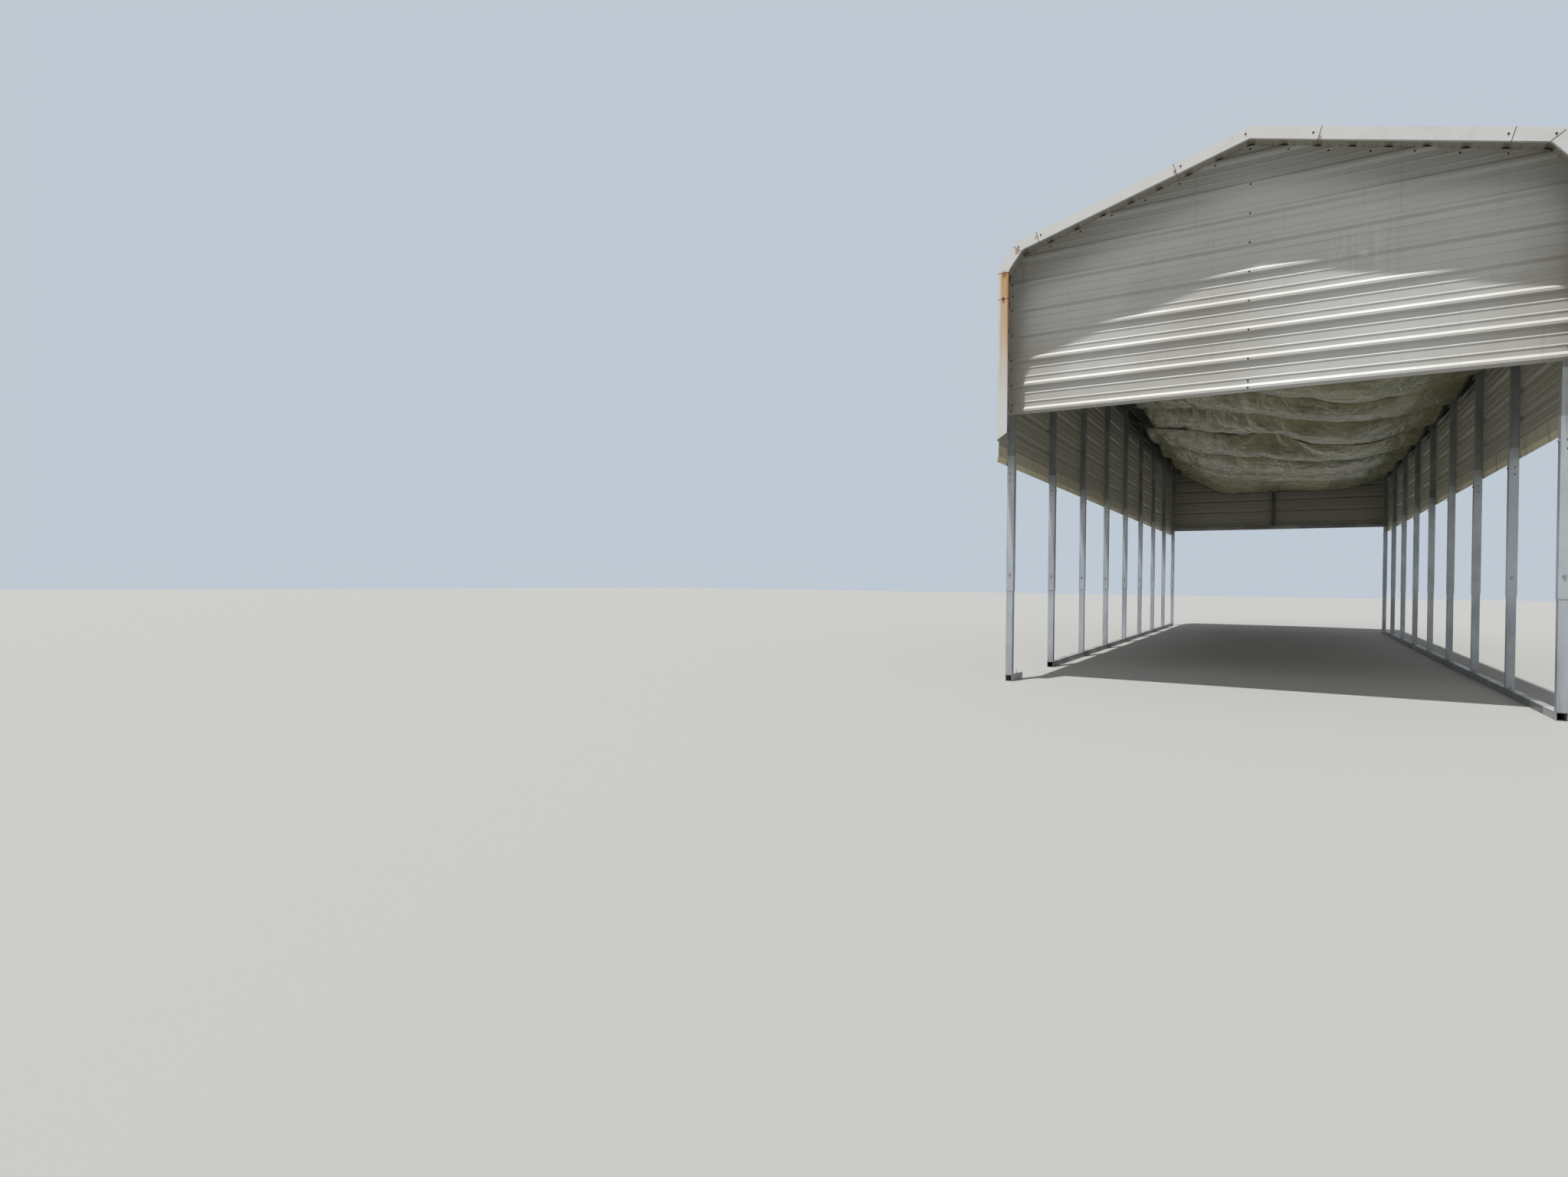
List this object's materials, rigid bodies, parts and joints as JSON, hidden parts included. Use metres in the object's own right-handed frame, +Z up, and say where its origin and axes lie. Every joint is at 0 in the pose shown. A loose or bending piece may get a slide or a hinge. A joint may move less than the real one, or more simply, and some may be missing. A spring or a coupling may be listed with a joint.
{
  "type": "metal carport",
  "caption": "Long open-sided carport of square steel tube frames on base rails, with a ribbed sheet roof, partly sheeted walls, gable ends and a hung tarpaulin ceiling",
  "frame": {"origin": "on the floor, under the middle of the roof", "axes": "+Z up, the front faces -Y, +X to the right seen from the front"},
  "size_m": [3.854, 12.8046, 4.3971],
  "materials": {
    "galvanised_tube": "dull galvanised with faint spangle and weathering",
    "sleeve_tube": "galvanised, a little brighter than the bows",
    "sheet_pebble": "satin baked paint, pale warm grey, weathered",
    "roof_sheet": "satin baked paint, pale warm grey, weathered",
    "edge_trim": "satin white paint, rust stained at the laps",
    "side_trim": "satin cream paint",
    "tarp": "woven poly tarpaulin, silver grey, creased",
    "tie_cord": "thin braided cord"
  },
  "bodies": {
    "root": {"back_gable_post": "galvanised_tube", "back_gable_sheet": "sheet_pebble", "back_header": "galvanised_tube", "back_trim": "edge_trim", "base_rail_left": "galvanised_tube", "base_rail_right": "galvanised_tube", "bow_1": "galvanised_tube", "bow_2": "galvanised_tube", "bow_3": "galvanised_tube", "bow_4": "galvanised_tube", "bow_5": "galvanised_tube", "bow_6": "galvanised_tube", "bow_7": "galvanised_tube", "bow_8": "galvanised_tube", "bow_9": "galvanised_tube", "eave_sheet_left": "roof_sheet", "eave_sheet_right": "roof_sheet", "foot_rail_front_left": "galvanised_tube", "front_gable_post": "galvanised_tube", "front_gable_sheet": "sheet_pebble", "front_header": "galvanised_tube", "front_trim": "edge_trim", "leg_1": "sleeve_tube", "leg_2": "sleeve_tube", "leg_3": "sleeve_tube", "leg_4": "sleeve_tube", "leg_5": "sleeve_tube", "leg_6": "sleeve_tube", "leg_7": "sleeve_tube", "leg_8": "sleeve_tube", "leg_9": "sleeve_tube", "ridge_sheet_left": "roof_sheet", "ridge_sheet_right": "roof_sheet", "side_sheet_left": "roof_sheet", "side_sheet_right": "roof_sheet", "side_trim_left": "side_trim", "side_trim_right": "side_trim", "slope_sheet_left": "roof_sheet", "slope_sheet_right": "roof_sheet", "tarp_front": "tarp", "tarp_rear": "tarp", "tarp_ties": "tie_cord"}
  },
  "joints": []
}
